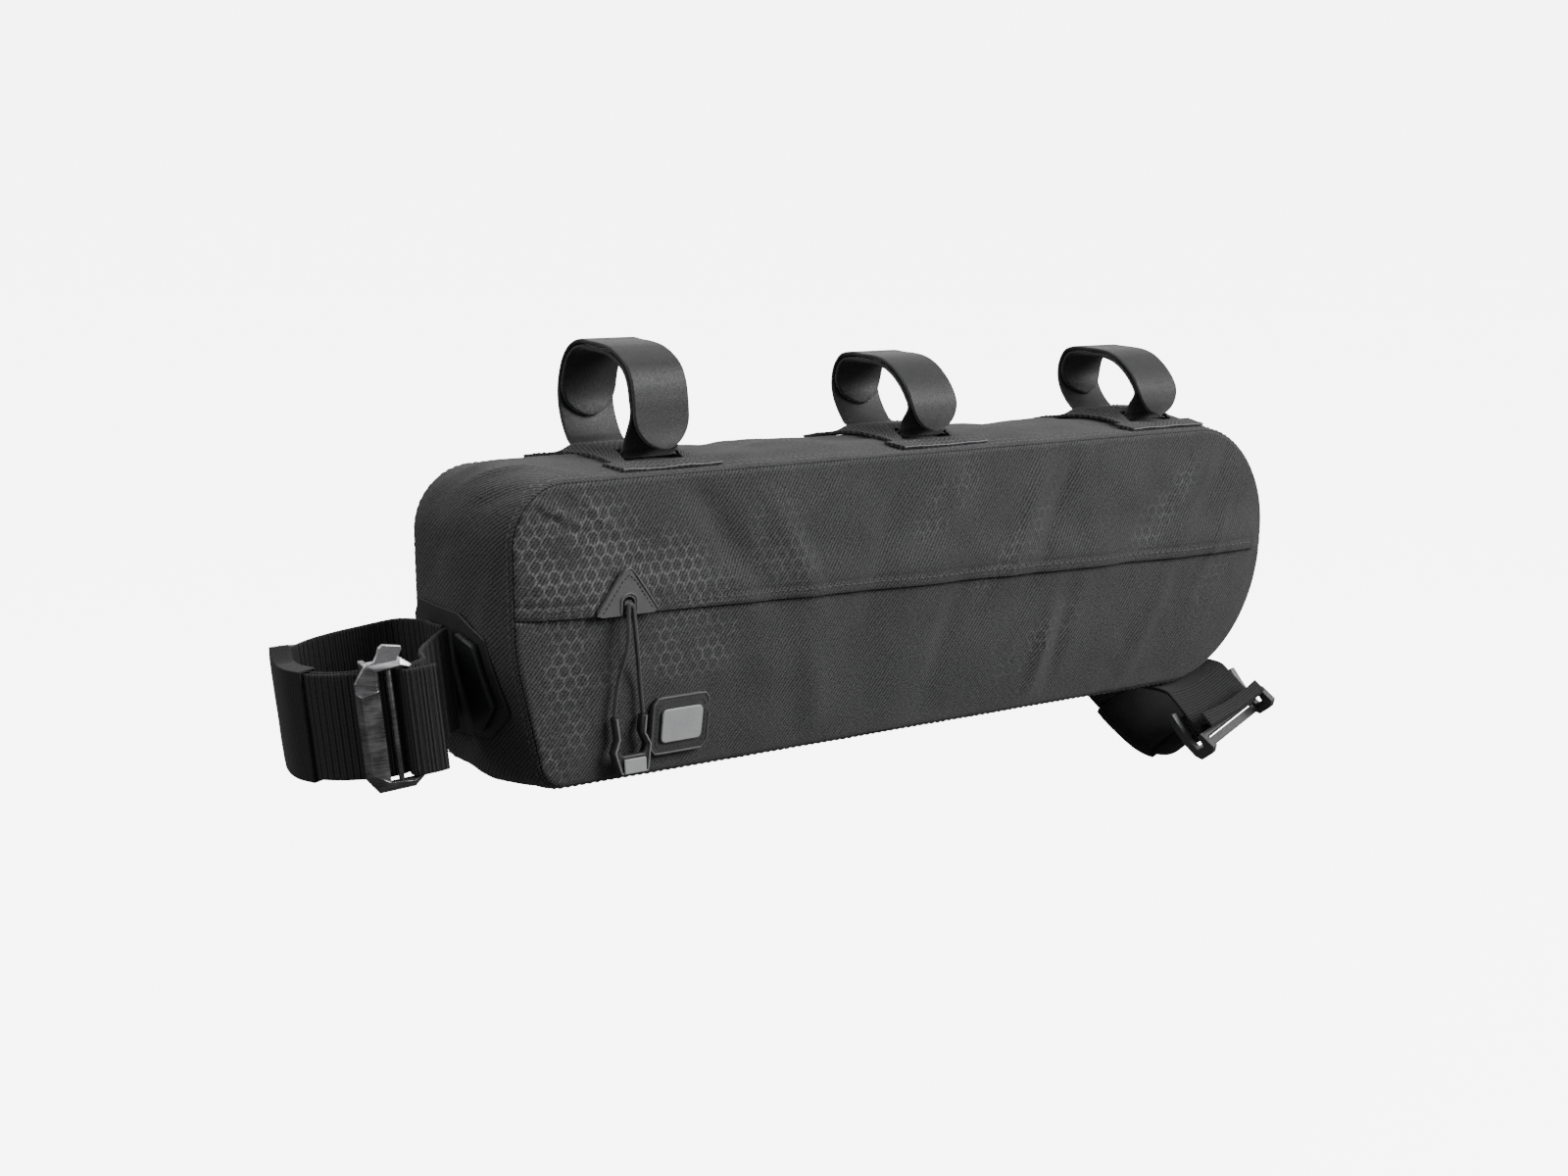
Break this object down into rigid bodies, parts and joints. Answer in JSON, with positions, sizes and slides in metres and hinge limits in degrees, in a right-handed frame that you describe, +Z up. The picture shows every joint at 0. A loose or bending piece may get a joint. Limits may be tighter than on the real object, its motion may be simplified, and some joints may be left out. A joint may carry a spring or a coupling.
{
  "type": "bicycle frame bag",
  "caption": "Slim zipped bicycle frame bag in charcoal fabric, hung by hook-and-loop loops on top and held by buckled webbing straps at its tail and nose.",
  "frame": {"origin": "middle of the middle top strap's loop, where the bicycle's top tube runs through", "axes": "+X along the bag from its tail to its nose, +Z up, and the zip side faces -Y"},
  "size_m": [0.4799, 0.0913, 0.1937],
  "materials": {
    "charcoal_fabric": "matte heathered weave",
    "zip_tape": "matte",
    "patch_rubber": "satin",
    "smooth_lining": "smooth coated cloth",
    "webbing": "ribbed webbing",
    "hook_and_loop": "satin outside, fuzzy inside",
    "gunmetal": "satin gunmetal",
    "cord": "matte",
    "pale_grey": "satin"
  },
  "bodies": {
    "root": {"side_panel_upper": "charcoal_fabric", "side_panel_lower": "charcoal_fabric", "back_panel": "charcoal_fabric", "gusset": "charcoal_fabric", "zip_tape": "zip_tape", "zip_garage": "patch_rubber", "zip_pull": "patch_rubber", "badge": "patch_rubber", "tail_patch": "patch_rubber", "top_patch_tail": "patch_rubber", "top_patch_middle": "patch_rubber", "top_patch_nose": "patch_rubber", "tail_pocket": "smooth_lining", "tail_strap_keeper": "smooth_lining", "nose_strap_sleeve": "smooth_lining", "tail_strap": "webbing", "tail_anchor_strap": "webbing", "nose_strap": "webbing", "nose_anchor_strap": "webbing", "top_strap_tail": "hook_and_loop", "top_strap_middle": "hook_and_loop", "top_strap_nose": "hook_and_loop", "tail_buckle": "gunmetal", "nose_buckle": "gunmetal", "zip_slider": "gunmetal", "pull_cord": "cord", "badge_plate": "pale_grey", "zip_pull_tip": "pale_grey"}
  },
  "joints": []
}
